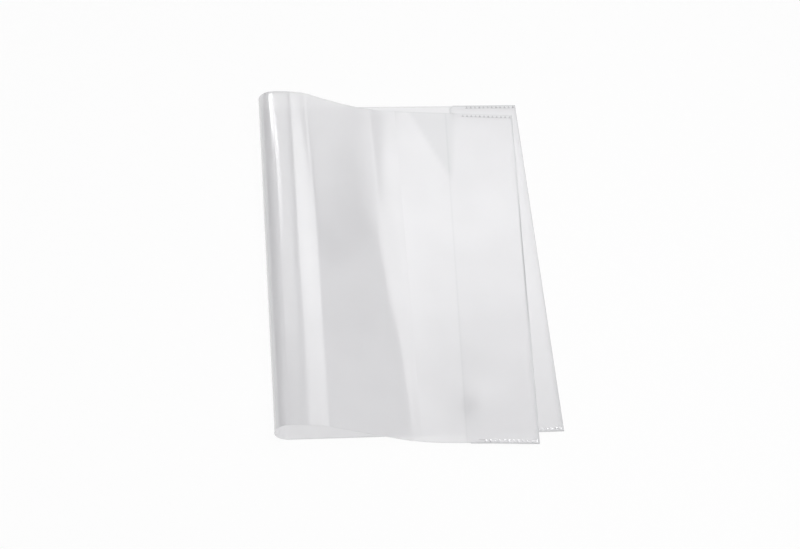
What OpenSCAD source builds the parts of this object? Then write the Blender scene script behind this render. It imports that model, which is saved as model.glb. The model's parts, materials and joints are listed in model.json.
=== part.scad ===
// Clear film cover for an exercise book, closed and lying on its back panel.
// One sheet of film runs from the back fore-edge, round a loose roll at the spine,
// over a crest and down a slope to the front panel. Each fore-edge is folded in to
// make a flap, and toothed welds at head and tail close the flap into a pocket.
// The spine film is divided into strips. It bends along parallel hinge lines between
// some of them, so the front swings over and the cover opens out flat.

/* [Cover] */
// Height of the cover from head to tail
cover_h = 305; // [200:1:340]
// Width of the flat back panel from its fore-edge to the spine roll, at mid height
back_w = 204; // [180:1:230]
// Distance that the front fore-edge lies in from the back fore-edge, at mid height
front_setback = 12; // [0:1:25]
// Thickness of the film
film_t = 0.2; // [0.1:0.05:0.4]

/* [Spine] */
// Radius of the tight roll, to the middle of the film
roll_r = 12; // [7:0.5:16]
// Angle that the tight roll turns through
roll_turn = 175; // [160:1:179]
// Radius of the crest over the top of the roll
crest_r = 85; // [40:1:120]
// Angle of the slope that runs down to the front panel
slope_angle = 18; // [14:1:26]
// Radius of the foot where the slope runs out into the front panel
foot_r = 70; // [30:1:100]
// Angle between the hinge lines and the back fore-edge, so the front lies askew
skew = 1.5; // [0.2:0.1:3]

/* [Pockets] */
// Width of each folded-in flap
flap_w = 55; // [30:1:80]
// Cut across the two inner corners of each flap
flap_corner = 3; // [1:0.5:8]
// Free height inside each pocket, between panel and flap
pocket_gap = 0.6; // [0.4:0.1:2]

/* [Welds] */
// Length at the inner end of each flap that is left unwelded
weld_free = 9; // [4:0.5:20]
// Distance from the film's edge to the tips of the teeth
weld_inset = 0.6; // [0.3:0.1:3]
// Width of the plain bar that the teeth stand on
weld_bar = 0.8; // [0.4:0.1:2]
// Height of the teeth
tooth_h = 1.6; // [0.8:0.1:3]
// Distance from one tooth to the next
tooth_pitch = 3.5; // [2:0.1:6]

/* [Clearances] */
// Gap in the film at each hinge line of the spine
hinge_gap = 0.6; // [0.4:0.05:1]
// Gap between the back flap and the front flap when the cover is closed
layer_gap = 0.3; // [0.2:0.1:2]

/* [Hidden] */
// Facets round a full circle
$fn = 180;
// Strips that the tight roll, the crest and the foot are divided into
roll_strips = 8;
crest_strips = 3;
foot_strips = 2;
// Colours of the clear film and of the pressed welds
film_colour = [0.87, 0.88, 0.91, 0.55];
weld_colour = [0.95, 0.95, 0.97, 0.8];
// Length that a cutting tool runs past the film, so that no faces coincide
overrun = 20;

// Outer radius of a fore-edge fold, which is also where the flat film begins
fold_out = pocket_gap / 2 + film_t;
// Underside of a flap, above the outer face of its panel
flap_z = film_t + pocket_gap;
// Length of each weld, from the fold to where the flap is left free
weld_l = flap_w - fold_out - weld_free;
// Outer face of the front panel above the outer face of the back panel
front_z = 2 * (flap_z + film_t) + layer_gap;
// Rise of the film's middle from the back panel to the front panel
front_rise = front_z - film_t;

// Length of the slope that brings the film down to the front panel
slope_l = (roll_r * (1 - cos(roll_turn)) + crest_r * (cos(roll_turn) + cos(slope_angle))
    - foot_r * (1 - cos(slope_angle)) - front_rise) / sin(slope_angle);
// Angle that the crest turns through
crest_turn = 180 + slope_angle - roll_turn;

// Strips of spine film in order from the back panel, as [name, number, radius, turn,
// whether a hinge line runs along its start]. A radius of 0 is the flat slope.
strips = concat(
    [for (i = [1 : roll_strips])
        ["roll_strip_", i, roll_r, roll_turn / roll_strips, i == 1 || i == roll_strips / 2 + 1]],
    [for (i = [1 : crest_strips])
        ["crest_strip_", i, crest_r, crest_turn / crest_strips, i == 1]],
    [["slope_strip", "", 0, 0, false]],
    [for (i = [1 : foot_strips])
        ["foot_strip_", i, foot_r, -slope_angle / foot_strips, i == 1]]
);
last = len(strips) - 1;

function strip_name(i) = str(strips[i][0], strips[i][1]);
function strip_radius(i) = strips[i][2];
function strip_turn(i) = strips[i][3];
// Film left out at each end of a strip
function gap_before(i) = strips[i][4] ? hinge_gap / 2 : 0;
function gap_after(i) = i == last ? hinge_gap / 2 : gap_before(i + 1);
function strip_length(i) =
    strip_radius(i) == 0 ? slope_l : strip_radius(i) * abs(strip_turn(i)) * PI / 180;

// Where the film leaves the back panel, measured square to the hinge lines
roll_start = back_w / 2 * cos(skew);

// Start of strip i across the hinge lines, as [x, z, heading, length of film so far].
// A heading of 0 runs away from the back fore-edge, and 90 runs straight up.
function start_of(i) = i == 0 ? [-roll_start, film_t / 2, 0, roll_start] : end_of(i - 1);
function end_of(i) =
    strip_radius(i) == 0 ? after_flat(start_of(i), i) : after_arc(start_of(i), i);
function after_flat(from, i) = [
    from[0] - slope_l * cos(from[2]),
    from[1] + slope_l * sin(from[2]),
    from[2],
    from[3] + slope_l
];
function after_arc(from, i) = [
    from[0] - curl(i) * (sin(from[2] + strip_turn(i)) - sin(from[2])),
    from[1] + curl(i) * (cos(from[2]) - cos(from[2] + strip_turn(i))),
    from[2] + strip_turn(i),
    from[3] + strip_length(i)
];
// Radius with the sign of the turn
function curl(i) = strip_radius(i) * sign(strip_turn(i));

// Head and tail edges of the film along the hinge lines, after a length s of film
function head_edge(s) = cover_h / 2 / cos(skew) - s * tan(skew);
function tail_edge(s) = -cover_h / 2 / cos(skew) - s * tan(skew);

// Place across the unrolled sheet of the line that is a length s along the film
function sheet_x(s, y) = (y * sin(skew) - s) / cos(skew);

// Where the front panel starts along the film, and how far it shifts as it turns over
front_start = end_of(last)[3];
turn_over_x = end_of(last)[0] - front_start;
// The two fore-edges on the unrolled sheet
back_fore_x = back_w / 2;
front_fore_x = (turn_over_x + front_setback) / cos(skew) - back_fore_x;
// Length of film between the two fore-edges, at mid height
film_l = back_fore_x - front_fore_x;

// Places a shape drawn inwards from a fore-edge, outer face down, on the back half
module on_back() {
    translate([back_fore_x, 0, 0]) mirror([1, 0, 0]) children();
}

// Places the same kind of shape on the front half, turned over round the spine
module on_front() {
    rotate([0, 0, -skew])
        translate([turn_over_x, 0, front_z])
            rotate([0, 180, 0])
                rotate([0, 0, skew])
                    translate([front_fore_x, 0, 0]) children();
}

// Flat panel from the fold to its hinge line, given the distance in at head and tail
module panel_shape(at_head, at_tail) {
    color(film_colour)
        linear_extrude(film_t)
            polygon([
                [fold_out, -cover_h / 2],
                [fold_out, cover_h / 2],
                [at_head, cover_h / 2],
                [at_tail, -cover_h / 2]
            ]);
}

// Half-round fold of the film along a fore-edge
module fold_shape() {
    color(film_colour)
        intersection() {
            translate([fold_out, 0, fold_out])
                rotate([90, 0, 0])
                    difference() {
                        cylinder(h = cover_h, r = fold_out, center = true);
                        cylinder(h = cover_h + overrun, r = pocket_gap / 2, center = true);
                    }
            translate([0, -cover_h / 2, 0]) cube([fold_out, cover_h, 2 * fold_out]);
        }
}

// Flap over the inside of a panel, with its inner corners cut off
module flap_shape() {
    color(film_colour)
        translate([0, 0, flap_z])
            linear_extrude(film_t)
                polygon([
                    [fold_out, -cover_h / 2],
                    [flap_w - flap_corner, -cover_h / 2],
                    [flap_w, -cover_h / 2 + flap_corner],
                    [flap_w, cover_h / 2 - flap_corner],
                    [flap_w - flap_corner, cover_h / 2],
                    [fold_out, cover_h / 2]
                ]);
}

// Toothed weld between panel and flap near the head edge, teeth towards the edge
module head_weld_shape() {
    teeth = floor(weld_l / tooth_pitch);
    tip_y = cover_h / 2 - weld_inset;
    root_y = tip_y - tooth_h;
    color(weld_colour)
        translate([fold_out, 0, film_t])
            linear_extrude(pocket_gap)
                polygon(concat(
                    [[weld_l, root_y], [weld_l, root_y - weld_bar], [0, root_y - weld_bar], [0, root_y]],
                    [for (i = [0 : teeth - 1], p = [0, 1])
                        [(i + (1 + p) / 2) * tooth_pitch, p == 0 ? tip_y : root_y]]
                ));
}

module tail_weld_shape() {
    mirror([0, 1, 0]) head_weld_shape();
}

// Straight distance from the start of strip i to its end
function chord_of(i) =
    norm([end_of(i)[0] - start_of(i)[0], end_of(i)[1] - start_of(i)[1]]);

// Outline between the head and tail edges of strip i, from u to v along its chord
function strip_outline(i, u, v) =
    let (
        film_per_chord = strip_length(i) / chord_of(i),
        from_s = start_of(i)[3] + u * film_per_chord,
        to_s = start_of(i)[3] + v * film_per_chord
    )
    [[u, tail_edge(from_s)], [u, head_edge(from_s)], [v, head_edge(to_s)], [v, tail_edge(to_s)]];

// Slab over that outline, as thick as given and centred on the chord
module strip_slab(i, u, v, thick) {
    from = start_of(i);
    translate([from[0], 0, from[1]])
        rotate([0, 180 + from[2] + strip_turn(i) / 2, 0])
            translate([0, 0, -thick / 2])
                linear_extrude(thick) polygon(strip_outline(i, u, v));
}

// Puts a shape round the axis of a curved strip, with the strip's middle along -Z
module about_axis(i) {
    from = start_of(i);
    translate([from[0] + curl(i) * sin(from[2]), 0, from[1] + curl(i) * cos(from[2])])
        rotate([0, from[2] + strip_turn(i) / 2 + (strip_turn(i) < 0 ? 180 : 0), 0])
            children();
}

// Tube of film, and the sector of it that a curved strip takes up
module strip_sector(i) {
    tube_l = cover_h + 2 * film_l * tan(skew) + overrun;
    reach = strip_radius(i) + overrun;
    half = abs(strip_turn(i)) / 2;
    before = half - gap_before(i) / strip_radius(i) * 180 / PI;
    after = half - gap_after(i) / strip_radius(i) * 180 / PI;
    turn_sign = sign(strip_turn(i));
    about_axis(i)
        rotate([90, 0, 0])
            intersection() {
                difference() {
                    cylinder(h = tube_l, r = strip_radius(i) + film_t / 2, center = true);
                    cylinder(h = tube_l + overrun, r = strip_radius(i) - film_t / 2, center = true);
                }
                linear_extrude(tube_l + overrun, center = true)
                    polygon([
                        [0, 0],
                        reach * [-turn_sign * sin(after), -cos(after)],
                        reach * [turn_sign * sin(before), -cos(before)]
                    ]);
            }
}

module curved_strip(i) {
    bow = strip_radius(i) * (1 - cos(strip_turn(i) / 2));
    intersection() {
        strip_sector(i);
        strip_slab(i, -overrun, chord_of(i) + overrun, 2 * (bow + film_t));
    }
}

module spine_strip(i) {
    color(film_colour)
        rotate([0, 0, -skew])
            if (strip_radius(i) == 0) strip_slab(i, gap_before(i), slope_l - gap_after(i), film_t);
            else curved_strip(i);
}

module back_panel() {
    hinge_s = roll_start - hinge_gap / 2;
    on_back()
        panel_shape(
            back_fore_x - sheet_x(hinge_s, cover_h / 2),
            back_fore_x - sheet_x(hinge_s, -cover_h / 2)
        );
}

module back_fold() on_back() fold_shape();

module back_flap() on_back() flap_shape();

module back_head_weld() on_back() head_weld_shape();

module back_tail_weld() on_back() tail_weld_shape();

module front_panel() {
    hinge_s = front_start + hinge_gap / 2;
    on_front()
        panel_shape(
            sheet_x(hinge_s, cover_h / 2) - front_fore_x,
            sheet_x(hinge_s, -cover_h / 2) - front_fore_x
        );
}

module front_fold() on_front() fold_shape();

module front_flap() on_front() flap_shape();

module front_head_weld() on_front() head_weld_shape();

module front_tail_weld() on_front() tail_weld_shape();

back_panel();
back_fold();
back_flap();
back_head_weld();
back_tail_weld();
for (i = [0 : last])
    spine_strip(i);
front_panel();
front_fold();
front_flap();
front_head_weld();
front_tail_weld();
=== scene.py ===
"""Clear film cover for an exercise book: its film, its welds, the studio and the camera.

The film is one blank that runs from the back pocket, round a loose roll at the spine and
over a crest, down to the front pocket. Each stretch of it rides on the body that carries it.
"""
import json
import logging
import math
from dataclasses import dataclass, field
from enum import Enum

import bpy
import numpy as np
from bpy.types import Material, Mesh, Node, NodeSocket, NodeTree, Object
from mathutils import Matrix, Vector


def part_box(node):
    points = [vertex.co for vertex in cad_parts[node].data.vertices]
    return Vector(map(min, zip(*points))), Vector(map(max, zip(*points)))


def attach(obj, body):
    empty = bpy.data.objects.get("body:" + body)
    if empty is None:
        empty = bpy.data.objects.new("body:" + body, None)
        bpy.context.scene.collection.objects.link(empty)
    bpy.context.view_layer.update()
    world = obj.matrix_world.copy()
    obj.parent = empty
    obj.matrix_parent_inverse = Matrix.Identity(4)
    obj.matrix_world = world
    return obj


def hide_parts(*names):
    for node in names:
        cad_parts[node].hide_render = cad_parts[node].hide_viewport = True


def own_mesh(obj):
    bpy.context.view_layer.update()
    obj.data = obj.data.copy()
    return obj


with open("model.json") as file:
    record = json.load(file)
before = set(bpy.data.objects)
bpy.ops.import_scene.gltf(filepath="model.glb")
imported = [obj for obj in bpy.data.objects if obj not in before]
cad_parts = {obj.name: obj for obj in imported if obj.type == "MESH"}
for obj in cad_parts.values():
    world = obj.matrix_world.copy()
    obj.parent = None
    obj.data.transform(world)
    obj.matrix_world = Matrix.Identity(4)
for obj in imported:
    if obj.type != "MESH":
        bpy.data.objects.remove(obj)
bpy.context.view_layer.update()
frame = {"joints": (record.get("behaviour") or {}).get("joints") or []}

LOG = logging.getLogger("book_cover")
MM = 0.001
Colour = tuple[float, float, float]
Pair = tuple[float, float]

# Steps of the film's grids
GRID_STEP = 6 * MM
CURVE_STEP = math.radians(2)
LEAST_STEPS = 4
FINE_EDGE = (0.25 * MM, 0.6 * MM, 1.4 * MM, 3.0 * MM)
FOLD_POINTS = 17
PANEL_POINTS = 42
FLAP_LINE_POINTS = 5


class Side(Enum):
    """The two halves of the cover, each with a pocket at its fore-edge."""

    BACK = "back"
    FRONT = "front"


class End(Enum):
    """The two ends of the cover, with the sign of their direction along +Y."""

    HEAD = 1
    TAIL = -1


def joint(name: str) -> dict:
    """Finds a joint's row in the frame, with its place, axis and limits."""
    return next(row for row in frame["joints"] if row["name"] == name)


def log_piece(made: Object) -> None:
    """Reports a finished piece."""
    LOG.info("%s: %d faces", made.name, len(made.data.polygons))


def smooth_step(x: np.ndarray) -> np.ndarray:
    """Eases values from 0 to 1 with a level start and end, and holds them outside."""
    t = np.clip(x, 0.0, 1.0)
    return t * t * (3.0 - 2.0 * t)


def spaced(length: float) -> np.ndarray:
    """Divides a length into even steps, with fine steps close to both ends.

    Args:
        length: The length to divide.

    Returns:
        The distances of the divisions, from 0 to the length.
    """
    near = np.array([0.0, *FINE_EDGE[:-1]])
    reach = FINE_EDGE[-1]
    even = np.linspace(reach, length - reach, math.ceil((length - 2 * reach) / GRID_STEP) + 1)
    return np.concatenate([near, even, length - near[::-1]])


def repeated(values: np.ndarray, count: int) -> np.ndarray:
    """Repeats a line of values, one for each row of a grid, in a number of columns."""
    return np.broadcast_to(values[:, None], (len(values), count))


class NodeBuilder:
    """Adds nodes to a tree and links them, one call for each node."""

    RANGE = ("From Min", "From Max", "To Min", "To Max")
    NOISE_MIDDLE = (0.3, 0.7)
    COLOUR_A = 6
    COLOUR_B = 7
    COLOUR_RESULT = 2

    def __init__(self, tree: NodeTree) -> None:
        """Takes a tree and empties it."""
        self.tree = tree
        self.tree.nodes.clear()

    def add(self, kind: str, inputs: dict | None = None, **settings: object) -> Node:
        """Adds one node.

        Args:
            kind: The node's type, as Blender names it.
            inputs: Values or output sockets for its inputs, by name or number.
            settings: Properties to set on the node itself.

        Returns:
            The new node.
        """
        node = self.tree.nodes.new(kind)
        for name, value in settings.items():
            setattr(node, name, value)
        for key, value in (inputs or {}).items():
            if isinstance(value, NodeSocket):
                self.tree.links.new(value, node.inputs[key])
            else:
                node.inputs[key].default_value = value
        return node

    def math(self, operation: str, *values: object) -> NodeSocket:
        """Works out a value from numbers or sockets, in order."""
        return self.add("ShaderNodeMath", dict(enumerate(values)), operation=operation).outputs[0]

    def mapped(self, value: NodeSocket, source: Pair, result: Pair, ease: str = "LINEAR") -> NodeSocket:
        """Maps a value from a source range onto two results, and holds it at the ends."""
        inputs = {"Value": value, **dict(zip(self.RANGE, (*source, *result)))}
        return self.add("ShaderNodeMapRange", inputs, interpolation_type=ease).outputs["Result"]

    def spread(self, noise: NodeSocket, low: float, high: float) -> NodeSocket:
        """Maps the middle range of a noise onto two values, for where it is weak and strong."""
        return self.mapped(noise, self.NOISE_MIDDLE, (low, high))

    def blend(self, share: NodeSocket, first: object, second: object) -> NodeSocket:
        """Mixes two colours, the second one by its share."""
        inputs = {"Factor": share, self.COLOUR_A: first, self.COLOUR_B: second}
        return self.add("ShaderNodeMix", inputs, data_type="RGBA").outputs[self.COLOUR_RESULT]

    def between(self, share: NodeSocket, first: object, second: object) -> NodeSocket:
        """Mixes two numbers, the second one by its share."""
        return self.add("ShaderNodeMix", {"Factor": share, "A": first, "B": second}).outputs["Result"]


def new_material(name: str) -> tuple[Material, NodeBuilder]:
    """Makes a material without nodes.

    Args:
        name: The material's name.

    Returns:
        The material and the builder of its shader tree.
    """
    material = bpy.data.materials.new(name)
    material.use_nodes = True
    return material, NodeBuilder(material.node_tree)


def new_object(name: str, data: bpy.types.ID) -> Object:
    """Makes an object and puts it in the scene.

    Args:
        name: The object's name.
        data: Its mesh, lamp or camera.

    Returns:
        The object.
    """
    made = bpy.data.objects.new(name, data)
    bpy.context.scene.collection.objects.link(made)
    return made


def opaque(colour: Colour, lighter: float = 1.0) -> tuple[float, ...]:
    """Makes a colour lighter by a factor and gives it the form that a colour socket takes."""
    return (*(min(1.0, lighter * part) for part in colour), 1.0)


@dataclass(frozen=True)
class Waves:
    """A noise, by its waves in a metre along each axis and how many finer ones lie on them."""

    per_metre: tuple[float, float, float]
    detail: float

    def add(self, nodes: NodeBuilder, place: NodeSocket) -> NodeSocket:
        """Adds the noise to a tree.

        Args:
            nodes: The tree's builder.
            place: Where a point lies, in metres.

        Returns:
            The noise's socket.
        """
        scaled = nodes.add("ShaderNodeMapping", {"Vector": place, "Scale": self.per_metre})
        inputs = {"Vector": scaled.outputs["Vector"], "Scale": 1.0, "Detail": self.detail}
        return nodes.add("ShaderNodeTexNoise", inputs).outputs["Fac"]


@dataclass(frozen=True)
class Relief:
    """A fine relief that shows only in reflections."""

    strength: float
    depth: float

    def add(self, nodes: NodeBuilder, height: NodeSocket, under: NodeSocket | None = None) -> NodeSocket:
        """Adds the relief to a tree.

        Args:
            nodes: The tree's builder.
            height: The heights, from 0 to 1.
            under: The normal of a relief that this one lies on, if any.

        Returns:
            The normal's socket.
        """
        inputs = {"Strength": self.strength, "Distance": self.depth, "Height": height}
        if under is not None:
            inputs["Normal"] = under
        return nodes.add("ShaderNodeBump", inputs).outputs["Normal"]


@dataclass(frozen=True)
class FilmPoint:
    """What the film's finish reads at a point, with the builder of its tree."""

    nodes: NodeBuilder
    rim_and_painted_shade: NodeSocket
    crease: NodeSocket
    cloud: NodeSocket
    lines: NodeSocket
    ripple: NodeSocket


@dataclass(frozen=True)
class FilmFinish:
    """Clear, glossy, faintly milky film, with the draw lines and cut edges of real sheet, and painted
    shade and a painted reflection in its colour.
    """

    name: str = "clear_film"
    tint: Colour = (0.694, 0.690, 0.708)
    lighter: float = 1.05
    # Darker tint for the cut edges and for painted shade.
    rim_and_painted_shade_tint: Colour = (0.54, 0.545, 0.56)
    # Paler tint mixed in at a slant: a painted reflection of the white floor.
    painted_reflection_tint: Colour = (0.96, 0.96, 0.97)
    haze: float = 0.75
    haze_change: float = 0.04
    most_haze: float = 0.97
    edge_haze: float = 0.08
    crease_haze: float = 0.25
    crease_shade: float = 0.85
    grazing_haze: float = 0.5
    grazing_haze_power: float = 1.5
    # Share and power of the paling at a slant, a painted reflection of the white floor.
    grazing_painted_reflection: float = 0.95
    grazing_painted_reflection_power: float = 2.0
    shadow: float = 0.10
    roughness: float = 0.09
    roughness_change: float = 0.06
    ior: float = 1.6
    coat_roughness: float = 0.04
    cloud: Waves = Waves((9.0, 9.0, 9.0), 2.0)
    lines: Waves = Waves((420.0, 5.0, 1.0), 3.0)
    ripple: Waves = Waves((26.0, 15.0, 9.0), 1.0)
    lines_relief: Relief = Relief(0.04, 0.02 * MM)
    ripple_relief: Relief = Relief(0.10, 2.0 * MM)

    def material(self) -> Material:
        """Builds the film's shader.

        Returns:
            The material.
        """
        material, nodes = new_material(self.name)
        place, rim_and_painted_shade, crease = (
            nodes.add("ShaderNodeAttribute", attribute_name=name).outputs[kind]
            for name, kind in (("film_at", "Vector"), ("rim_and_painted_shade", "Fac"), ("crease", "Fac"))
        )
        noises = (waves.add(nodes, place) for waves in (self.cloud, self.lines, self.ripple))
        at = FilmPoint(nodes, rim_and_painted_shade, crease, *noises)
        principled = nodes.add("ShaderNodeBsdfPrincipled", {
            "Base Color": self._colour(at),
            "Roughness": nodes.spread(at.lines, self.roughness, self.roughness + self.roughness_change),
            "IOR": self.ior,
            "Coat Weight": 1.0,
            "Coat Roughness": self.coat_roughness,
            "Coat IOR": self.ior,
            "Alpha": self._alpha(at),
            "Normal": self._normal(at),
        })
        nodes.add("ShaderNodeOutputMaterial", {"Surface": principled.outputs["BSDF"]})
        return material

    def _colour(self, at: FilmPoint) -> NodeSocket:
        """Mixes the film's tint with a darker one at cut edges and with painted shade at folds, the flap's
        line and the pleat, and pales it at a slant as a painted reflection of the white floor.

        Args:
            at: What the finish reads at a point.

        Returns:
            The colour's socket.
        """
        nodes = at.nodes
        cloudy = nodes.spread(at.cloud, 0.0, 1.0)
        body = nodes.blend(cloudy, opaque(self.tint), opaque(self.tint, self.lighter))
        # Share of the darker tint: cut edges, plus painted shade from the crease mask, the flap's line and
        # the pleat.
        edge = nodes.math("MULTIPLY_ADD", at.crease, self.crease_shade, at.rim_and_painted_shade)
        edged = nodes.blend(edge, body, opaque(self.rim_and_painted_shade_tint))
        # Paler at a slant: a painted reflection of the white floor.
        painted_reflection = nodes.math("MULTIPLY", self._slant(nodes, self.grazing_painted_reflection_power), self.grazing_painted_reflection)
        return nodes.blend(painted_reflection, edged, opaque(self.painted_reflection_tint))

    def _alpha(self, at: FilmPoint) -> NodeSocket:
        """Works out how milky the film is, once for each sheet that a ray passes.

        Args:
            at: What the finish reads at a point.

        Returns:
            The alpha's socket.
        """
        nodes = at.nodes
        haze = nodes.spread(at.cloud, self.haze - self.haze_change, self.haze + self.haze_change)
        for cause, amount in (
            (at.rim_and_painted_shade, self.edge_haze),
            (at.crease, self.crease_haze),
            (self._slant(nodes, self.grazing_haze_power), self.grazing_haze),
        ):
            haze = nodes.math("MULTIPLY_ADD", cause, amount, haze)
        haze = nodes.math("MINIMUM", haze, self.most_haze)
        path = nodes.add("ShaderNodeLightPath").outputs
        lighting = nodes.math("MAXIMUM", path["Is Shadow Ray"], path["Is Diffuse Ray"])
        seen = nodes.between(lighting, haze, self.shadow)
        inside = nodes.add("ShaderNodeNewGeometry").outputs["Backfacing"]
        return nodes.math("MULTIPLY", seen, nodes.math("SUBTRACT", 1.0, inside))

    @staticmethod
    def _slant(nodes: NodeBuilder, power: float) -> NodeSocket:
        """Rates how much at a slant the film is seen, from 0 to 1, raised to a power."""
        facing = nodes.add("ShaderNodeLayerWeight", {"Blend": 0.5}).outputs["Facing"]
        return nodes.math("POWER", facing, power)

    def _normal(self, at: FilmPoint) -> NodeSocket:
        """Adds the draw lines and the slight ripple that reflections show."""
        return self.lines_relief.add(at.nodes, at.lines, self.ripple_relief.add(at.nodes, at.ripple))


@dataclass(frozen=True)
class WeldFinish:
    """Pressed, fused film, frosted by the hot tool, with a tint darker than the sheet that is painted
    shade for its teeth.
    """

    name: str = "pressed_weld"
    # Darker than the film's tint: painted shade for the weld's dark teeth.
    tint: Colour = (0.57, 0.57, 0.59)
    lighter: float = 1.12
    haze: float = 0.72
    haze_change: float = 0.08
    roughness: float = 0.12
    roughness_change: float = 0.10
    ior: float = 1.6
    coat_roughness: float = 0.06
    coat_ior: float = 1.8
    grain: Waves = Waves((2600.0, 2600.0, 2600.0), 3.0)
    patches: Waves = Waves((240.0, 240.0, 240.0), 2.0)
    relief: Relief = Relief(0.12, 0.02 * MM)

    def material(self) -> Material:
        """Builds the weld's shader.

        Returns:
            The material.
        """
        material, nodes = new_material(self.name)
        place = nodes.add("ShaderNodeTexCoord").outputs["Object"]
        grain = self.grain.add(nodes, place)
        patch = self.patches.add(nodes, place)
        patchy = nodes.spread(patch, 0.0, 1.0)
        principled = nodes.add("ShaderNodeBsdfPrincipled", {
            "Base Color": nodes.blend(patchy, opaque(self.tint), opaque(self.tint, self.lighter)),
            "Roughness": nodes.spread(grain, self.roughness, self.roughness + self.roughness_change),
            "IOR": self.ior,
            "Coat Weight": 1.0,
            "Coat Roughness": self.coat_roughness,
            "Coat IOR": self.coat_ior,
            "Alpha": nodes.spread(patch, self.haze - self.haze_change, self.haze + self.haze_change),
            "Normal": self.relief.add(nodes, grain),
        })
        nodes.add("ShaderNodeOutputMaterial", {"Surface": principled.outputs["BSDF"]})
        return material


@dataclass
class FilmPatch:
    """A stretch of film, as a grid of points on its middle surface.

    Rows run across the film and columns along it. The outer face of the film is on the
    side that the rows and columns turn towards.
    """

    name: str
    middle: np.ndarray
    film_at: np.ndarray
    rim_and_painted_shade: np.ndarray
    crease: np.ndarray
    thickness: float

    def build(self, material: Material) -> Object:
        """Makes the closed sheet of film.

        Args:
            material: The film's material.

        Returns:
            The new object, at the origin with its place in its mesh.
        """
        rows, columns = self.middle.shape[:2]
        across, along = np.gradient(self.middle, axis=(0, 1))
        outward = np.cross(across, along)
        outward /= np.linalg.norm(outward, axis=2, keepdims=True)
        half = outward * self.thickness / 2
        points = np.concatenate([(self.middle + half).reshape(-1, 3), (self.middle - half).reshape(-1, 3)])
        number = np.arange(rows * columns).reshape(rows, columns)
        quads = np.stack(
            [number[:-1, :-1], number[1:, :-1], number[1:, 1:], number[:-1, 1:]], axis=-1
        ).reshape(-1, 4)
        ring = np.concatenate([number[:-1, 0], number[-1, :-1], number[:0:-1, -1], number[0, :0:-1]])
        after = np.roll(ring, -1)
        under = rows * columns
        walls = np.stack([after, ring, ring + under, after + under], axis=-1)
        faces = np.concatenate([quads, quads[:, ::-1] + under, walls])
        mesh = bpy.data.meshes.new(self.name)
        mesh.from_pydata(points.tolist(), [], faces.tolist())
        mesh.polygons.foreach_set("use_smooth", np.ones(len(faces), bool))
        self._mark_rim(mesh, set(ring.tolist()), under)
        self._store(mesh)
        mesh.materials.append(material)
        mesh.update()
        return new_object(self.name, mesh)

    @staticmethod
    def _mark_rim(mesh: Mesh, ring: set[int], under: int) -> None:
        """Keeps the film's cut edges crisp.

        Args:
            mesh: The film's mesh.
            ring: The points round the outer face.
            under: How many points the outer face has.
        """
        for edge in mesh.edges:
            first, second = edge.vertices
            if {first % under, second % under} <= ring:
                edge.use_edge_sharp = True

    def _store(self, mesh: Mesh) -> None:
        """Stores where each point lies on the film, for the finish to read.

        Args:
            mesh: The film's mesh.
        """
        for name, values in (("rim_and_painted_shade", self.rim_and_painted_shade), ("crease", self.crease)):
            attribute = mesh.attributes.new(name, "FLOAT", "POINT")
            attribute.data.foreach_set("value", np.tile(values.ravel(), 2).astype(np.float32))
        attribute = mesh.attributes.new("film_at", "FLOAT_VECTOR", "POINT")
        places = np.tile(self.film_at.reshape(-1, 3), (2, 1)).astype(np.float32)
        attribute.data.foreach_set("vector", places.ravel())


@dataclass(frozen=True)
class Arc:
    """A stretch of the spine's profile, curved or straight, seen along the hinge lines."""

    length: float
    turn: float = 0.0

    def walk(self, start: tuple[float, float, float], s: np.ndarray) -> tuple[np.ndarray, np.ndarray]:
        """Follows the stretch.

        Args:
            start: Place across the hinge lines, height and heading in radians at its start.
            s: Distances along it.

        Returns:
            The places across the hinge lines and the heights.
        """
        x, z, heading = start
        if self.turn == 0.0:
            return x - s * math.cos(heading), z + s * math.sin(heading)
        radius = self.length / self.turn
        angle = heading + s / radius
        across = radius * (np.sin(angle) - math.sin(heading))
        up = radius * (math.cos(heading) - np.cos(angle))
        return x - across, z + up


@dataclass
class CoverSizes:
    """Sizes of the cover, read from the frame where it has them."""

    roll_radius: float = 12 * MM
    roll_turn: float = math.radians(175)
    crest_radius: float = 85 * MM
    slope_angle: float = math.radians(18)
    foot_radius: float = 70 * MM
    flap_corner: float = 3 * MM
    height: float = field(init=False)
    film: float = field(init=False)
    fore_edge: float = field(init=False)
    flap: float = field(init=False)
    pocket: float = field(init=False)
    front_top: float = field(init=False)
    skew: float = field(init=False)

    def __post_init__(self) -> None:
        """Reads the sizes that the frame gives."""
        panel_low, panel_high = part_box("back_panel")
        flap_low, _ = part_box("back_flap")
        _, fold_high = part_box("back_fold")
        _, front_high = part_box("front_panel")
        self.height = panel_high.y - panel_low.y
        self.film = panel_high.z - panel_low.z
        self.fore_edge = fold_high.x
        self.flap = fold_high.x - flap_low.x
        self.pocket = flap_low.z - self.film
        self.front_top = front_high.z
        axis = joint("shoulder_bend")["axis"]
        self.skew = math.atan2(-axis[0], -axis[1])

    @property
    def fold_radius(self) -> float:
        """Radius of a fore-edge fold, to the middle of the film."""
        return (self.pocket + self.film) / 2

    @property
    def across(self) -> Vector:
        """Direction square to the hinge lines, from the spine to the fore-edge."""
        return Vector((math.cos(self.skew), -math.sin(self.skew), 0.0))

    @property
    def along(self) -> Vector:
        """Direction of the hinge lines, from tail to head."""
        return Vector((math.sin(self.skew), math.cos(self.skew), 0.0))

    def hinge(self, name: str) -> tuple[float, float]:
        """Finds a hinge line's place across the hinge lines, and its height."""
        at = Vector(joint(name)["pos_m"])
        return at.dot(self.across), at.z

    def end_of_film(self, s: np.ndarray, end: End) -> np.ndarray:
        """Finds where the film is cut off, along the hinge lines, at runs from the back's middle."""
        return end.value * self.height / 2 / math.cos(self.skew) - s * math.tan(self.skew)


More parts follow.
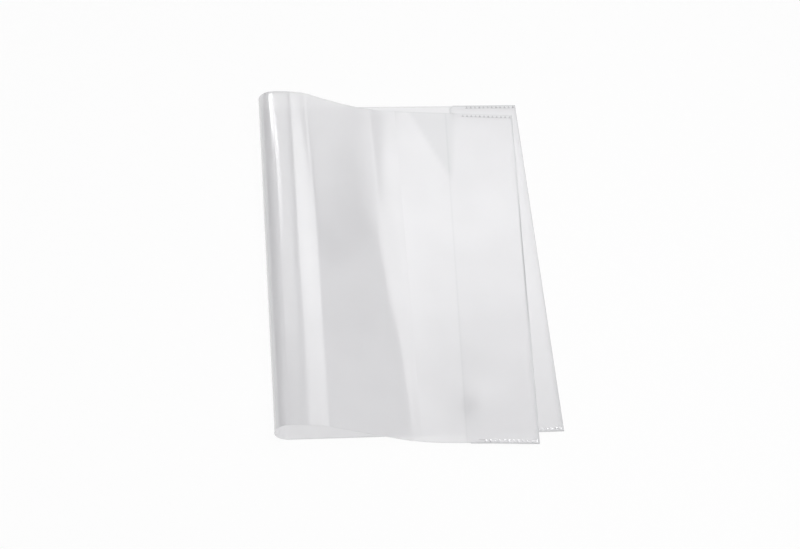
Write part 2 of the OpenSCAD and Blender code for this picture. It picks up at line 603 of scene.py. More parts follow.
# Bands of the film that its finish darkens: the cut edges, and painted shade at folds, at the flap's ends
# and along the flap's line
RIM_WIDTH = 0.9 * MM
SPINE_RIM = 0.35
CREASE_WIDTH = 4.0 * MM
# Width of the painted shade band at the flap's ends
FLAP_END_SHADE_WIDTH = 3.4 * MM
# Strength of the painted shade line where the flap's free edge lies under the panel
FLAP_LINE_SHADE = 0.35
FLAP_LINE_WIDTH = 1.1 * MM


@dataclass(frozen=True)
class Drape:
    """How loose film settles, as rises at the head and at the tail along its run."""

    run: tuple[float, ...]
    at_head: tuple[float, ...]
    at_tail: tuple[float, ...]
    bow: float = 1.5

    def rise(self, run: np.ndarray, towards_head: np.ndarray) -> np.ndarray:
        """Finds how far film, at a run and a share of the way to the head, is above its even curve."""
        head, tail = self._curve(run, self.at_head), self._curve(run, self.at_tail)
        return tail + (head - tail) * np.clip(towards_head, 0.0, 1.0) ** self.bow

    def _curve(self, run: np.ndarray, rises: tuple[float, ...]) -> np.ndarray:
        """Draws a smooth curve through given rises.

        Args:
            run: Where to read the curve.
            rises: The rise at each of the drape's runs.

        Returns:
            The curve's values.
        """
        knots, values = np.array(self.run), np.array(rises)
        slopes = np.gradient(values, knots)
        at = np.clip(run, knots[0], knots[-1])
        first = np.clip(np.searchsorted(knots, at, side="right") - 1, 0, len(knots) - 2)
        width = knots[first + 1] - knots[first]
        u = (at - knots[first]) / width
        start = values[first] * (1 + 2 * u) + slopes[first] * width * u
        end = values[first + 1] * (3 - 2 * u) - slopes[first + 1] * width * (1 - u)
        return start * (1 - u) ** 2 + end * u ** 2


# Rises in millimetres: run from the back panel's middle, at the head, at the tail
SETTLED_MM = (
    (125, 0.0, 0.0),
    (138, 0.0, 0.0),
    (146, 0.0, 0.0),
    (152, 0.15, 0.05),
    (158, 0.3, 0.3),
    (164, 0.25, 0.6),
    (174, -1.1, 0.7),
    (190, -2.2, 0.7),
    (205, -2.3, 0.9),
    (213, -2.05, 1.0),
    (220, -1.65, 1.2),
    (227, -1.05, 1.1),
    (234, -0.45, 0.6),
    (242, 0.0, -0.25),
    (250, 0.0, -0.9),
    (258, 0.0, -1.15),
    (270, 0.0, -1.0),
    (282, 0.0, -0.7),
    (297, 0.0, -0.22),
    (310, 0.0, -0.1),
    (325, 0.0, 0.0),
)
FRONT_DRAPE = Drape(*(tuple(v * MM for v in column) for column in zip(*SETTLED_MM)))


def near_edge(distance: np.ndarray, width: float) -> np.ndarray:
    """Rates how near points are to an edge: 1 at the edge, falling to 0 at a width from it."""
    return 1.0 - smooth_step(distance / width)


@dataclass(frozen=True)
class HeadCurl:
    """How the roll's cut edge draws in at the head, over a stretch of the film's run."""

    deep: float
    wide: float
    begins: Pair
    ends: Pair

    def drop(self, run: np.ndarray, from_head: np.ndarray) -> np.ndarray:
        """Finds how far the film bends down.

        Args:
            run: Lengths of film from the middle of the back panel.
            from_head: Distances from the cut edge at the head.

        Returns:
            The drops, the same shape as the two given arrays together.
        """
        (start, full), (last, gone) = self.begins, self.ends
        grown = smooth_step((run - start) / (full - start))
        left = 1.0 - smooth_step((run - last) / (gone - last))
        return self.deep * (grown * left) * near_edge(from_head, self.wide)


HEAD_CURL = HeadCurl(deep=0.15 * MM, wide=1.7 * MM, begins=(118 * MM, 127 * MM), ends=(142 * MM, 166 * MM))


# Place across the hinge lines, height, heading in radians and length of film so far
Station = tuple[float, float, float, float]


@dataclass
class SpineStretch:
    """The film of one moving body of the spine, between two hinge lines."""

    body: str
    next_body: str
    nodes: tuple[str, ...]
    arcs: tuple[Arc, ...]

    @property
    def hinge(self) -> str:
        """Name of the joint at the stretch's first hinge line."""
        return f"{self.body}_bend"

    def build(self, sizes: CoverSizes, start: Station, material: Material) -> tuple[Object, Station]:
        """Makes the film and sets it on its body.

        Args:
            sizes: The cover's sizes.
            start: Where the film is at the first hinge line.
            material: The film's material.

        Returns:
            The new object, and where the film is at the next hinge line.
        """
        x, z, heading, run = start
        xs, zs, runs = [], [], []
        for number, arc in enumerate(self.arcs):
            step = arc.length / max(LEAST_STEPS, math.ceil(arc.length / self._step(arc)))
            s = np.arange(0.0, arc.length + step / 2, step)
            ax, az = arc.walk((x, z, heading), s)
            first = 0 if number == 0 else 1
            xs.append(ax[first:])
            zs.append(az[first:])
            runs.append(run + s[first:])
            x, z, heading, run = ax[-1], az[-1], heading + arc.turn, run + arc.length
        profile = (np.concatenate(parts) for parts in (xs, zs, runs))
        made = self._patch(sizes, *profile).build(material)
        self._attach(made)
        return made, (x, z, heading, run)

    @staticmethod
    def _step(arc: Arc) -> float:
        """Longest division of a stretch, which is shorter where it curves."""
        return GRID_STEP if arc.turn == 0.0 else min(GRID_STEP, abs(arc.length / arc.turn) * CURVE_STEP)

    def _patch(self, sizes: CoverSizes, x: np.ndarray, z: np.ndarray, run: np.ndarray) -> FilmPatch:
        """Spreads the profile from tail to head.

        Args:
            sizes: The cover's sizes.
            x: Places of the profile across the hinge lines.
            z: Heights of the profile.
            run: Lengths of film along the profile.

        Returns:
            The film's grid.
        """
        tail, head = sizes.end_of_film(run, End.TAIL), sizes.end_of_film(run, End.HEAD)
        length = float(head[0] - tail[0])
        steps = spaced(length)
        t = tail[:, None] + steps[None, :]
        flat = x[:, None, None] * np.array(sizes.across) + t[:, :, None] * np.array(sizes.along)
        height = z[:, None] + FRONT_DRAPE.rise(run[:, None], steps[None, :] / length)
        height -= HEAD_CURL.drop(run[:, None], length - steps[None, :])
        middle = flat + np.array([0.0, 0.0, 1.0]) * height[:, :, None]
        edge = np.minimum(steps, length - steps)
        rim_and_painted_shade = np.broadcast_to(SPINE_RIM * near_edge(edge, RIM_WIDTH), t.shape)
        film_at = np.stack([repeated(run, len(steps)), t, np.zeros(t.shape)], axis=-1)
        return FilmPatch(f"{self.body}_film", middle, film_at, rim_and_painted_shade, np.zeros(t.shape), sizes.film)

    def _attach(self, made: Object) -> None:
        """Sets the film on its body, gives it its own mesh and hides the frame's strips that it stands
        for.

        Args:
            made: The film.
        """
        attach(made, self.body)
        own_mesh(made)
        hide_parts(*self.nodes)


def strips(group: str, first: int, last: int) -> tuple[str, ...]:
    """Names a run of the frame's strips, the last one included."""
    return tuple(f"{group}_strip_{number}" for number in range(first, last + 1))


@dataclass
class Spine:
    """The film from the back panel's hinge line to the front panel's."""

    sizes: CoverSizes

    def profile_rise(self) -> float:
        """Works out how far the slope has to come down.

        Returns:
            The height between the end of the crest and the start of the foot.
        """
        roll, crest, foot = self.sizes.roll_radius, self.sizes.crest_radius, self.sizes.foot_radius
        top = roll * (1 - math.cos(self.sizes.roll_turn))
        down = crest * (math.cos(self.sizes.roll_turn) + math.cos(self.sizes.slope_angle))
        rise = self.sizes.front_top - self.sizes.film
        return top + down - foot * (1 - math.cos(self.sizes.slope_angle)) - rise

    def stretches(self) -> list[SpineStretch]:
        """Lists the stretches of film in order from the back panel.

        Returns:
            The stretches.
        """
        sizes = self.sizes
        half_roll = Arc(sizes.roll_radius * sizes.roll_turn / 2, sizes.roll_turn / 2)
        crest_turn = math.pi + sizes.slope_angle - sizes.roll_turn
        crest = Arc(sizes.crest_radius * crest_turn, crest_turn)
        slope = Arc(self.profile_rise() / math.sin(sizes.slope_angle))
        foot = Arc(sizes.foot_radius * sizes.slope_angle, -sizes.slope_angle)
        return [
            SpineStretch("lower_roll", "upper_roll", strips("roll", 1, 4), (half_roll,)),
            SpineStretch("upper_roll", "shoulder", strips("roll", 5, 8), (half_roll,)),
            SpineStretch("shoulder", "foot", (*strips("crest", 1, 3), "slope_strip"), (crest, slope)),
            SpineStretch("foot", "front", strips("foot", 1, 2), (foot,)),
        ]

    def build(self, material: Material) -> float:
        """Makes the spine's film.

        Args:
            material: The film's material.

        Returns:
            The length of film from the middle of the back panel to the front panel's hinge line.
        """
        x, z = self.sizes.hinge("lower_roll_bend")
        at = (x, z, 0.0, -x)
        for stretch in self.stretches():
            made, at = stretch.build(self.sizes, at, material)
            log_piece(made)
        *_, run = at
        return run


def settle_flat(made: Object, side: Side) -> None:
    """Gives the front half's film its own copy of its mesh."""
    if side is Side.FRONT:
        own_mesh(made)


@dataclass
class Swelling:
    """A shallow rise of loose film, by its place inwards from the fore-edge and along it."""

    inward: float
    along: float
    wide: float
    high: float


@dataclass
class Pleat:
    """A facet of the panel that leans on the flap's free corner, darkened by painted shade."""

    ridge: float
    corner: float
    apex: float
    lift: float
    fall: float
    shade: float
    shade_fall: Pair
    soft: float

    def width(self, y: np.ndarray, end: float) -> np.ndarray:
        """Finds the facet's width at each place along the fore-edge, widest at the film's end."""
        return (self.corner - self.ridge) * np.clip((y - self.apex) / (end - self.apex), 0.0, 1.0)

    def rise(self, inward: np.ndarray, y: np.ndarray, end: float) -> np.ndarray:
        """Finds how far the facet stands out.

        Args:
            inward: Distances in from the fore-edge.
            y: Places along the fore-edge.
            end: The place of the film's end, where the facet is widest.

        Returns:
            The heights outwards.
        """
        width = self.width(y, end)
        ramp = np.clip(self.ridge + width - inward, 0.0, width)
        behind = smooth_step((self.ridge - inward) / self.fall)
        return math.tan(self.lift) * ramp * (1.0 - behind)

    def painted_shade(self, inward: np.ndarray, y: np.ndarray, end: float) -> np.ndarray:
        """Finds the painted shade that darkens the facet and a band past its ridge.

        Args:
            inward: Distances in from the fore-edge.
            y: Places along the fore-edge.
            end: The place of the film's end, where the facet is widest.

        Returns:
            The shares, from 0 to the facet's full shade.
        """
        width = self.width(y, end)
        inside = smooth_step((self.ridge + width - inward) / self.soft) * smooth_step(width / self.soft)
        narrow, wide = self.shade_fall
        behind = narrow + (wide - narrow) * width / (self.corner - self.ridge)
        return self.shade * inside * smooth_step(1.0 - (self.ridge - inward) / behind)


FRONT_SWELLINGS = (
    Swelling(inward=40 * MM, along=-119 * MM, wide=17 * MM, high=0.40 * MM),
    Swelling(inward=28 * MM, along=10 * MM, wide=45 * MM, high=0.2 * MM),
)
FRONT_PLEATS = (
    Pleat(
        ridge=54 * MM,
        corner=88 * MM,
        apex=81 * MM,
        lift=math.radians(0.7),
        fall=8 * MM,
        shade=0.6,
        shade_fall=(1.6 * MM, 12 * MM),
        soft=6 * MM,
    ),
)


@dataclass
class PocketSheet:
    """One half's film: its panel, the fold at the fore-edge and the flap over the inside."""

    side: Side
    sizes: CoverSizes
    place: Matrix
    hinge_at_head: float
    hinge_at_tail: float
    fore_edge: float
    swellings: tuple[Swelling, ...] = ()
    pleats: tuple[Pleat, ...] = ()

    def build(self, material: Material) -> Object:
        """Makes the half's film and sets it on its body.

        Args:
            material: The film's material.

        Returns:
            The new object.
        """
        sizes, name = self.sizes, self.side.value
        fold_start = sizes.fold_radius + sizes.film / 2
        along = spaced(sizes.height) - sizes.height / 2
        share = (along + sizes.height / 2) / sizes.height
        hinge = self.hinge_at_tail + (self.hinge_at_head - self.hinge_at_tail) * share
        panel_in = self._panel_lines(hinge, fold_start)
        panel_y = np.broadcast_to(along[None, :], panel_in.shape)
        panel_z = np.full(panel_in.shape, sizes.film / 2) - self._swell(panel_in, panel_y)
        turn = np.linspace(0.0, math.pi, FOLD_POINTS)[1:-1]
        fold_in = repeated(fold_start - sizes.fold_radius * np.sin(turn), len(along))
        fold_z = repeated(sizes.film / 2 + sizes.fold_radius * (1 - np.cos(turn)), len(along))
        fold_y = np.broadcast_to(along[None, :], fold_in.shape)
        flap_run = fold_start + spaced(sizes.flap - fold_start)
        flap_in = repeated(flap_run, len(along))
        cut = np.maximum(0.0, flap_run - (sizes.flap - sizes.flap_corner))
        flap_y = along[None, :] * (1 - cut / (sizes.height / 2))[:, None]
        flap_z = np.full(flap_in.shape, sizes.film * 1.5 + sizes.pocket)
        if self.side is Side.FRONT:
            panel_z -= self._drape(panel_in, panel_y)
            flap_z -= self._drape(flap_in, flap_y)
        inward = np.concatenate([panel_in, fold_in, flap_in])
        y = np.concatenate([panel_y, fold_y, flap_y])
        z = np.concatenate([panel_z, fold_z, flap_z])
        middle = np.stack([inward, y, z], axis=-1)
        half_height = np.concatenate([
            np.full(len(panel_in) + len(fold_in), sizes.height / 2), sizes.height / 2 - cut
        ])
        edge = half_height[:, None] - np.abs(y)
        flap_rows = slice(-len(flap_run), None)
        edge[flap_rows] = np.minimum(edge[flap_rows], (sizes.flap - flap_run)[:, None])
        run = np.concatenate([panel_in, -fold_in, -flap_in])
        film_at = np.stack([run, y, np.full(y.shape, 1.0 if self.side is Side.FRONT else 0.0)], axis=-1)
        # Crease mask: haze plus painted shade at the fore-edge fold, and at the flap's ends below.
        crease = near_edge(inward, CREASE_WIDTH)
        crease[flap_rows] = np.maximum(crease[flap_rows], near_edge(edge[flap_rows], FLAP_END_SHADE_WIDTH))
        rim_and_painted_shade = near_edge(edge, RIM_WIDTH)
        # Painted shade line along the flap's free edge under the panel.
        rim_and_painted_shade[: len(panel_in)] += FLAP_LINE_SHADE * near_edge(np.abs(panel_in - sizes.flap), FLAP_LINE_WIDTH)
        for pleat in self.pleats:
            # The pleat's facet, darkened with painted shade.
            rim_and_painted_shade[: len(panel_in)] += pleat.painted_shade(panel_in, panel_y, sizes.height / 2)
        rim_and_painted_shade = np.minimum(rim_and_painted_shade, 1.0)
        patch = FilmPatch(f"{name}_pocket_film", self._placed(middle), film_at, rim_and_painted_shade, crease, sizes.film)
        made = patch.build(material)
        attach(made, name)
        settle_flat(made, self.side)
        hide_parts(f"{name}_panel", f"{name}_fold", f"{name}_flap")
        return made

    def _panel_lines(self, hinge: np.ndarray, fold_start: float) -> np.ndarray:
        """Divides the panel, finely where the flap's free edge lies against it.

        Args:
            hinge: How far in the hinge line is, for each place along the fore-edge.
            fold_start: How far in the fold ends.

        Returns:
            Distances in from the fore-edge, a line of them for each division.
        """
        line = self.sizes.flap + FLAP_LINE_WIDTH * np.linspace(1.0, -1.0, FLAP_LINE_POINTS)
        shares = np.linspace(0.0, 1.0, PANEL_POINTS)
        inner = hinge[None, :] + (line[0] - hinge[None, :]) * shares[:-1, None]
        outer = line[-1] + (fold_start - line[-1]) * shares[1:]
        return np.concatenate([inner, repeated(np.concatenate([line, outer]), len(hinge))])

    def _swell(self, inward: np.ndarray, y: np.ndarray) -> np.ndarray:
        """Raises the panel's outer face where the loose film stands up a little.

        Args:
            inward: Distances in from the fore-edge.
            y: Places along the fore-edge.

        Returns:
            The heights outwards.
        """
        total = np.zeros(inward.shape)
        for rise in self.swellings:
            apart = ((inward - rise.inward) ** 2 + (y - rise.along) ** 2) / rise.wide ** 2
            total += rise.high * np.exp(-apart)
        for pleat in self.pleats:
            total += pleat.rise(inward, y, self.sizes.height / 2)
        return total

    def _drape(self, inward: np.ndarray, y: np.ndarray) -> np.ndarray:
        """Finds how far the front half's loose film stands above its even curve."""
        run = y * math.sin(self.sizes.skew) - (self.fore_edge + inward) * math.cos(self.sizes.skew)
        return FRONT_DRAPE.rise(run, y / self.sizes.height + 0.5)

    def _placed(self, points: np.ndarray) -> np.ndarray:
        """Moves points drawn inwards from the fore-edge, outer face down, to their place."""
        matrix = np.array(self.place)
        return points @ matrix[:3, :3].T + matrix[:3, 3]


@dataclass
class WeldRow:
    """A toothed weld that closes one end of a pocket."""

    side: Side
    end: End
    sizes: CoverSizes
    place: Matrix
    inset: float = 0.6 * MM
    bar: float = 0.1 * MM
    tooth: float = 2.3 * MM
    tooth_width: float = 1.9 * MM
    pitch: float = 3.5 * MM
    free: float = 9 * MM
    proud: float = 0.03 * MM
    lean: float = math.radians(4)

    def build(self, tree: NodeTree, material: Material) -> Object:
        """Makes the weld and sets it on its body.

        Args:
            tree: The Geometry Nodes tree that lays out the teeth.
            material: The weld's material.

        Returns:
            The new object.
        """
        sizes = self.sizes
        start = sizes.fold_radius + sizes.film / 2
        length = sizes.flap - start - self.free
        depth = sizes.pocket + 2 * sizes.film + 2 * self.proud
        values = {
            "Teeth": int(length / self.pitch),
            "Pitch": self.pitch,
            "Tooth Height": self.tooth,
            "Tooth Width": self.tooth_width,
            "Bar Length": length,
            "Bar Width": self.bar,
            "Depth": depth,
            "Lean": math.tan(self.lean if self.side is Side.BACK else -self.lean),
            "Material": material,
        }
        name = f"{self.side.value}_{self.end.name.lower()}_weld_teeth"
        mesh = evaluate_tree(tree, values, name)
        root = sizes.height / 2 - self.inset - self.tooth
        local = Matrix.Translation((start, root, sizes.pocket / 2 + sizes.film))
        flip = Matrix.Scale(self.end.value, 4, (0, 1, 0))
        mesh.transform(self.place @ flip @ local)
        if (self.place @ flip).determinant() < 0:
            mesh.flip_normals()
        made = new_object(name, mesh)
        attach(made, self.side.value)
        settle_flat(made, self.side)
        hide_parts(f"{self.side.value}_{self.end.name.lower()}_weld")
        return made


def evaluate_tree(tree: NodeTree, values: dict, name: str) -> Mesh:
    """Runs a Geometry Nodes tree and keeps its result as a plain mesh.

    Args:
        tree: The tree.
        values: The values of its inputs, by name.
        name: The name of the new mesh.

    Returns:
        The mesh.
    """
    holder = new_object("holder", bpy.data.meshes.new("holder"))
    modifier = holder.modifiers.new("weld", "NODES")
    modifier.node_group = tree
    for item in tree.interface.items_tree:
        if item.in_out == "INPUT" and item.name in values:
            modifier[item.identifier] = values[item.name]
    bpy.context.view_layer.update()
    graph = bpy.context.evaluated_depsgraph_get()
    mesh = bpy.data.meshes.new_from_object(holder.evaluated_get(graph), depsgraph=graph)
    holder.modifiers.remove(modifier)
    bpy.data.objects.remove(holder)
    mesh.name = name
    return mesh


class WeldTree(NodeBuilder):
    """The Geometry Nodes tree that lays out a row of weld teeth on a plain bar."""

    FLOATS = ("Pitch", "Tooth Height", "Tooth Width", "Bar Length", "Bar Width", "Depth", "Lean")
    BAR_DEPTH_SHARE = 0.3
    # Width and height of a three-sided block of radius 1, whose middle is a third of the way up
    BLOCK_WIDTH = math.sqrt(3)
    BLOCK_HEIGHT = 1.5

    def __init__(self) -> None:
        """Makes a tree with its named inputs only."""
        super().__init__(bpy.data.node_groups.new("weld_teeth", "GeometryNodeTree"))
        face = self.tree.interface
        face.new_socket("Teeth", in_out="INPUT", socket_type="NodeSocketInt")
        for name in self.FLOATS:
            face.new_socket(name, in_out="INPUT", socket_type="NodeSocketFloat")
        face.new_socket("Material", in_out="INPUT", socket_type="NodeSocketMaterial")
        face.new_socket("Geometry", in_out="OUTPUT", socket_type="NodeSocketGeometry")
        self.given = self.add("NodeGroupInput").outputs

    def share(self, name: str, factor: float) -> NodeSocket:
        """Gives a share of a named input."""
        return self.math("MULTIPLY", self.given[name], factor)

    def vector(self, x: object = 0.0, y: object = 0.0, z: object = 0.0) -> NodeSocket:
        """Joins three values into a vector."""
        return self.add("ShaderNodeCombineXYZ", {0: x, 1: y, 2: z}).outputs[0]

    def moved(self, shape: NodeSocket, change: str, amount: object) -> NodeSocket:
        """Changes a shape's Translation, Rotation or Scale by an amount."""
        return self.add("GeometryNodeTransform", {"Geometry": shape, change: amount}).outputs[0]

    def build(self) -> NodeTree:
        """Fills the tree.

        Returns:
            The tree.
        """
        line = self.add("GeometryNodeMeshLine", {
            "Count": self.given["Teeth"],
            "Start Location": self.vector(self.share("Pitch", 0.5)),
            "Offset": self.vector(self.given["Pitch"]),
        })
        placed = self.add("GeometryNodeInstanceOnPoints", {
            "Points": line.outputs["Mesh"],
            "Instance": self.tooth(),
        })
        joined = self.add("GeometryNodeJoinGeometry")
        for shape in (self.bar(), placed.outputs["Instances"]):
            self.tree.links.new(shape, joined.inputs[0])
        realized = self.add("GeometryNodeRealizeInstances", {"Geometry": joined.outputs[0]})
        dressed = self.add("GeometryNodeSetMaterial", {
            "Geometry": realized.outputs[0],
            "Material": self.given["Material"],
        })
        self.add("NodeGroupOutput", {"Geometry": dressed.outputs[0]})
        return self.tree

    def tooth(self) -> NodeSocket:
        """Makes one pressed tooth, a three-sided block that thins towards its point at +Y.

        Returns:
            The tooth's geometry.
        """
        block = self.add("GeometryNodeMeshCone", {
            "Vertices": 3,
            "Radius Top": 1.0,
            "Radius Bottom": 1.0,
            "Depth": self.given["Depth"],
        })
        shape = self.moved(block.outputs["Mesh"], "Translation", self.vector(z=self.share("Depth", -0.5)))
        shape = self.moved(shape, "Rotation", (0.0, 0.0, math.pi / 2))
        width = self.share("Tooth Width", 1 / self.BLOCK_WIDTH)
        height = self.share("Tooth Height", 1 / self.BLOCK_HEIGHT)
        shape = self.moved(shape, "Scale", self.vector(width, height, 1.0))
        shape = self.moved(shape, "Translation", self.vector(y=self.share("Tooth Height", 1 / 3)))
        return self.leaning(shape)

    def leaning(self, shape: NodeSocket) -> NodeSocket:
        """Thickens a tooth towards its root on one face: +Z where the lean is above 0, or else -Z.

        Args:
            shape: The tooth, of even thickness.

        Returns:
            The tooth with its leaning face.
        """
        place = self.add("GeometryNodeInputPosition").outputs[0]
        parts = self.add("ShaderNodeSeparateXYZ", {0: place}).outputs
        lean = self.given["Lean"]
        from_tip = self.math("SUBTRACT", self.given["Tooth Height"], parts["Y"])
        growth = self.math("MULTIPLY", from_tip, lean)
        on_face = self.math("GREATER_THAN", self.math("MULTIPLY", parts["Z"], lean), 0.0)
        rise = self.math("MULTIPLY", growth, on_face)
        moved = self.add("GeometryNodeSetPosition", {"Geometry": shape, "Offset": self.vector(z=rise)})
        return moved.outputs[0]

    def bar(self) -> NodeSocket:
        """Makes the plain bar that joins the teeth, inside the pocket.

        Returns:
            The bar's geometry.
        """
        depth = self.share("Depth", self.BAR_DEPTH_SHARE)
        size = self.vector(self.given["Bar Length"], self.given["Bar Width"], depth)
        block = self.add("GeometryNodeMeshCube", {"Size": size})
        middle = self.vector(self.share("Bar Length", 0.5), self.share("Bar Width", -0.5))
        return self.moved(block.outputs["Mesh"], "Translation", middle)


@dataclass
class BookCover:
    """The whole cover."""

    sizes: CoverSizes
    setback: float = 12 * MM
    film_finish: FilmFinish = FilmFinish()
    weld_finish: WeldFinish = WeldFinish()

    def build(self) -> None:
        """Makes every piece of the cover in order from the back to the front."""
        film, weld = self.film_finish.material(), self.weld_finish.material()
        front_run = Spine(self.sizes).build(film)
        teeth = WeldTree().build()
        for side in Side:
            place, at_head, at_tail, fore = self._half(side, front_run)
            loose = (FRONT_SWELLINGS, FRONT_PLEATS) if side is Side.FRONT else ()
            sheet = PocketSheet(side, self.sizes, place, at_head, at_tail, fore, *loose).build(film)
            log_piece(sheet)
            for end in End:
                log_piece(WeldRow(side, end, self.sizes, place).build(teeth, weld))

    def _half(self, side: Side, front_run: float) -> tuple[Matrix, float, float, float]:
        """Finds where a half lies.

        Args:
            side: The back or the front.
            front_run: The length of film from the middle of the back panel to the front panel.

        Returns:
            The matrix that places a shape drawn inwards from the fore-edge with its outer face
            down, how far in the hinge line is at the head and at the tail, and where the
            fore-edge is on the unrolled film.
        """
        sizes = self.sizes
        half = sizes.height / 2
        if side is Side.BACK:
            run = -sizes.hinge("lower_roll_bend")[0]
            place = Matrix.Translation((sizes.fore_edge, 0, 0)) @ Matrix.Scale(-1, 4, (1, 0, 0))
            head, tail = self._sheet_x(run, half), self._sheet_x(run, -half)
            return place, sizes.fore_edge - head, sizes.fore_edge - tail, sizes.fore_edge
        turned = sizes.hinge("front_bend")[0] - front_run
        fore = (turned + self.setback) / math.cos(sizes.skew) - sizes.fore_edge
        place = (
            Matrix.Rotation(-sizes.skew, 4, "Z")
            @ Matrix.Translation((turned, 0, sizes.front_top))
            @ Matrix.Rotation(math.pi, 4, "Y")
            @ Matrix.Rotation(sizes.skew, 4, "Z")
            @ Matrix.Translation((fore, 0, 0))
        )
        return place, self._sheet_x(front_run, half) - fore, self._sheet_x(front_run, -half) - fore, fore

    def _sheet_x(self, run: float, y: float) -> float:
        """Finds where a hinge line, at a run square to it, crosses the unrolled film at a place y."""
        return (y * math.sin(self.sizes.skew) - run) / math.cos(self.sizes.skew)


@dataclass(frozen=True)
class Fade:
    """A stretch of a card over which its glow eases from a low share to the full one."""

    axis: str
    low_at: float
    full_at: float
    low: float = 0.0


def level_sheet(name: str, corners: tuple[Pair, ...], height: float, finish: Material) -> Object:
    """Makes a level, flat sheet for the studio.

    Args:
        name: The sheet's name.
        corners: Its corners, seen from above.
        height: How high it lies.
        finish: Its material.

    Returns:
        The new object.
    """
    mesh = bpy.data.meshes.new(name)
    mesh.from_pydata([(x, y, height) for x, y in corners], [], [tuple(range(len(corners)))])
    mesh.materials.append(finish)
    return new_object(name, mesh)


@dataclass(frozen=True)
class StudioCard:
    """A flat white card, seen only in reflections, that glows evenly or fades towards its sides."""

    name: str
    corners: tuple[Pair, ...]
    strength: float
    fades: tuple[Fade, ...] = ()
    height: float = 1.2

    def build(self) -> None:
        """Makes the card."""
        material, nodes = new_material(self.name)
        place = nodes.add("ShaderNodeTexCoord").outputs["Object"]
        parts = nodes.add("ShaderNodeSeparateXYZ", {"Vector": place}).outputs
        strength: object = self.strength
        for fade in self.fades:
            share = nodes.mapped(
                parts[fade.axis], (fade.low_at, fade.full_at), (fade.low, 1.0), ease="SMOOTHSTEP"
            )
            strength = nodes.math("MULTIPLY", share, strength)
        glow = nodes.add("ShaderNodeEmission", {"Strength": strength})
        nodes.add("ShaderNodeOutputMaterial", {"Surface": glow.outputs[0]})
        made = level_sheet(self.name, self.corners, self.height, material)
        made.visible_camera = False


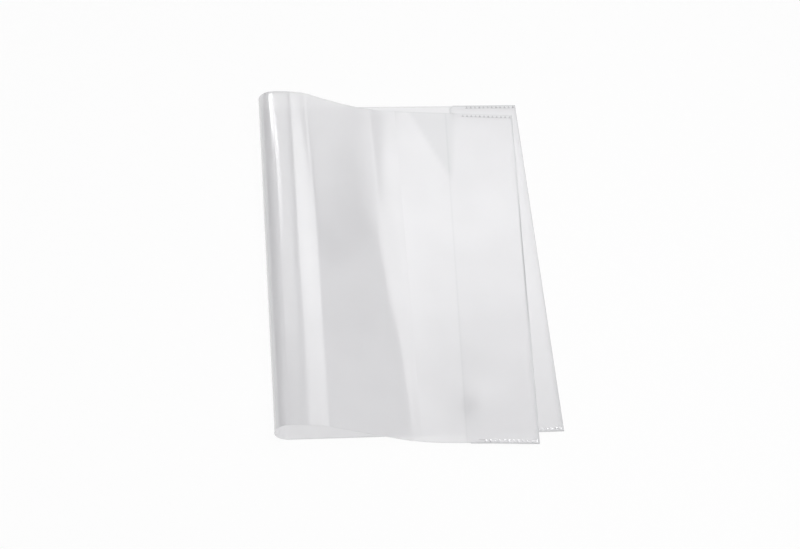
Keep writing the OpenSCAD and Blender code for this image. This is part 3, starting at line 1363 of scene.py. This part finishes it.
@dataclass
class Studio:
    """The pale floor, the lights and the camera."""

    floor_drop: float = 0.5 * MM
    floor_size: float = 60.0
    floor_white: float = 0.85
    floor_matt: Colour = (0.97, 0.97, 0.97)
    target: Vector = Vector((-9.210 * MM, -9.425 * MM, 0.0))
    distance: float = 1866.51 * MM
    azimuth: float = math.radians(15.51)
    elevation: float = math.radians(56.54)
    roll: float = math.radians(11.89)
    focal: float = 107.89
    film_layers: int = 32
    surround: float = 0.51
    flag: float = 0.05
    flag_way: tuple[float, float, float] = (-0.78, 0.53, 0.33)
    flag_edge: Pair = (0.84, 0.97)
    fill: float = 25.0
    fill_size: float = 1.15
    fill_at: tuple[float, float, float] = (0.42, 0.42, 2.2)

    def build(self) -> None:
        """Sets the stage."""
        scene = bpy.context.scene
        scene.view_settings.view_transform = "Standard"
        scene.cycles.transparent_max_bounces = self.film_layers
        self._camera()
        self._floor()
        self._world()
        self._lamps()

    def _camera(self) -> None:
        """Makes the camera at the photograph's viewing angle."""
        ahead = Vector((
            math.sin(self.azimuth) * math.cos(self.elevation),
            math.cos(self.azimuth) * math.cos(self.elevation),
            -math.sin(self.elevation),
        ))
        level = Vector((math.cos(self.azimuth), -math.sin(self.azimuth), 0.0))
        upright = level.cross(ahead)
        right = math.cos(self.roll) * level + math.sin(self.roll) * upright
        up = math.cos(self.roll) * upright - math.sin(self.roll) * level
        camera = bpy.data.cameras.new("camera")
        camera.lens = self.focal
        made = new_object("camera", camera)
        turn = Matrix((right, up, -ahead)).transposed().to_4x4()
        made.matrix_world = Matrix.Translation(self.target - ahead * self.distance) @ turn
        bpy.context.scene.camera = made

    def _floor(self) -> None:
        """Makes the white floor, which keeps a faint shadow."""
        material, nodes = new_material("floor")
        path = nodes.add("ShaderNodeLightPath").outputs
        seen = nodes.math("MAXIMUM", path["Is Camera Ray"], path["Is Glossy Ray"])
        seen = nodes.math("MAXIMUM", seen, path["Is Transmission Ray"])
        white = nodes.math("MULTIPLY", seen, self.floor_white)
        matt = nodes.add("ShaderNodeBsdfDiffuse", {"Color": opaque(self.floor_matt)})
        glow = nodes.add("ShaderNodeEmission", {"Strength": 1.0})
        mixed = nodes.add("ShaderNodeMixShader", {0: white, 1: matt.outputs[0], 2: glow.outputs[0]})
        nodes.add("ShaderNodeOutputMaterial", {"Surface": mixed.outputs[0]})
        half = self.floor_size / 2
        corners = ((-half, -half), (half, -half), (half, half), (-half, half))
        made = level_sheet("floor", corners, -self.floor_drop, material)

    def _world(self) -> None:
        """Makes a plain surround, white to the eye, with a dark flag to the left behind the spine."""
        world = bpy.data.worlds.new("studio")
        world.use_nodes = True
        nodes = NodeBuilder(world.node_tree)
        look = nodes.add("ShaderNodeTexCoord").outputs["Generated"]
        way = tuple(Vector(self.flag_way).normalized())
        near = nodes.add("ShaderNodeVectorMath", {0: look, 1: way}, operation="DOT_PRODUCT")
        lights = (self.surround, self.flag)
        level = nodes.mapped(near.outputs["Value"], self.flag_edge, lights, ease="SMOOTHSTEP")
        seen = nodes.add("ShaderNodeLightPath").outputs["Is Camera Ray"]
        shown = nodes.between(seen, level, 1.0)
        glow = nodes.add("ShaderNodeBackground", {"Color": (1.0, 1.0, 1.0, 1.0), "Strength": shown})
        nodes.add("ShaderNodeOutputWorld", {"Surface": glow.outputs[0]})
        bpy.context.scene.world = world

    def _lamps(self) -> None:
        """Hangs the cards and the overhead lamp."""
        for card in STUDIO_CARDS:
            card.build()
        lamp = bpy.data.lights.new("overhead", "AREA")
        lamp.shape = "SQUARE"
        lamp.size = self.fill_size
        lamp.energy = self.fill
        made = new_object("overhead", lamp)
        made.location = self.fill_at
        made.visible_camera = False


STUDIO_CARDS = (
    StudioCard(
        "key_card",
        ((0.10, 0.35), (0.73, 0.35), (0.75, 0.60), (0.78, 0.77), (0.80, 0.80), (0.80, 1.36), (0.10, 1.36)),
        2.75,
        (
            Fade("Y", 0.45, 0.85, 0.46),
            Fade("Y", 1.10, 0.985, 0.4),
            Fade("X", 0.11, 0.20),
            Fade("X", 0.62, 0.40, 0.82),
        ),
    ),
    StudioCard(
        "side_card",
        ((0.80, 0.80), (0.87, 0.88), (1.0, 1.05), (1.075, 1.17), (1.11, 1.32), (0.80, 1.32)),
        2.1,
        (Fade("X", 1.25, 0.80, 0.3),),
    ),
    StudioCard(
        "far_card",
        ((1.02, 1.08), (2.0, 1.08), (2.0, 1.75), (1.02, 1.75)),
        1.2,
        (Fade("Y", 1.08, 1.45),),
    ),
    StudioCard(
        "soft_card",
        ((-0.45, 0.45), (0.17, 0.45), (0.17, 1.10), (-0.45, 1.10)),
        1.5,
        (Fade("X", -0.45, -0.15), Fade("X", 0.17, 0.03), Fade("Y", 0.45, 0.78)),
    ),
    StudioCard(
        "strip_card",
        ((-0.09, 0.70), (-0.085, 0.92), (-0.11, 1.0), (-0.27, 1.06), (-0.60, 1.22), (-1.05, 1.42),
         (-1.10, 1.33), (-0.76, 1.12), (-0.29, 0.94), (-0.14, 0.88), (-0.14, 0.70)),
        9.0,
        (Fade("Y", 0.70, 0.91),),
    ),
)


def main() -> None:
    """Builds the studio and the cover, and reports each piece."""
    logging.basicConfig(level=logging.INFO, format="%(name)s: %(message)s")
    Studio().build()
    BookCover(CoverSizes()).build()


if __name__ == "__main__":
    main()
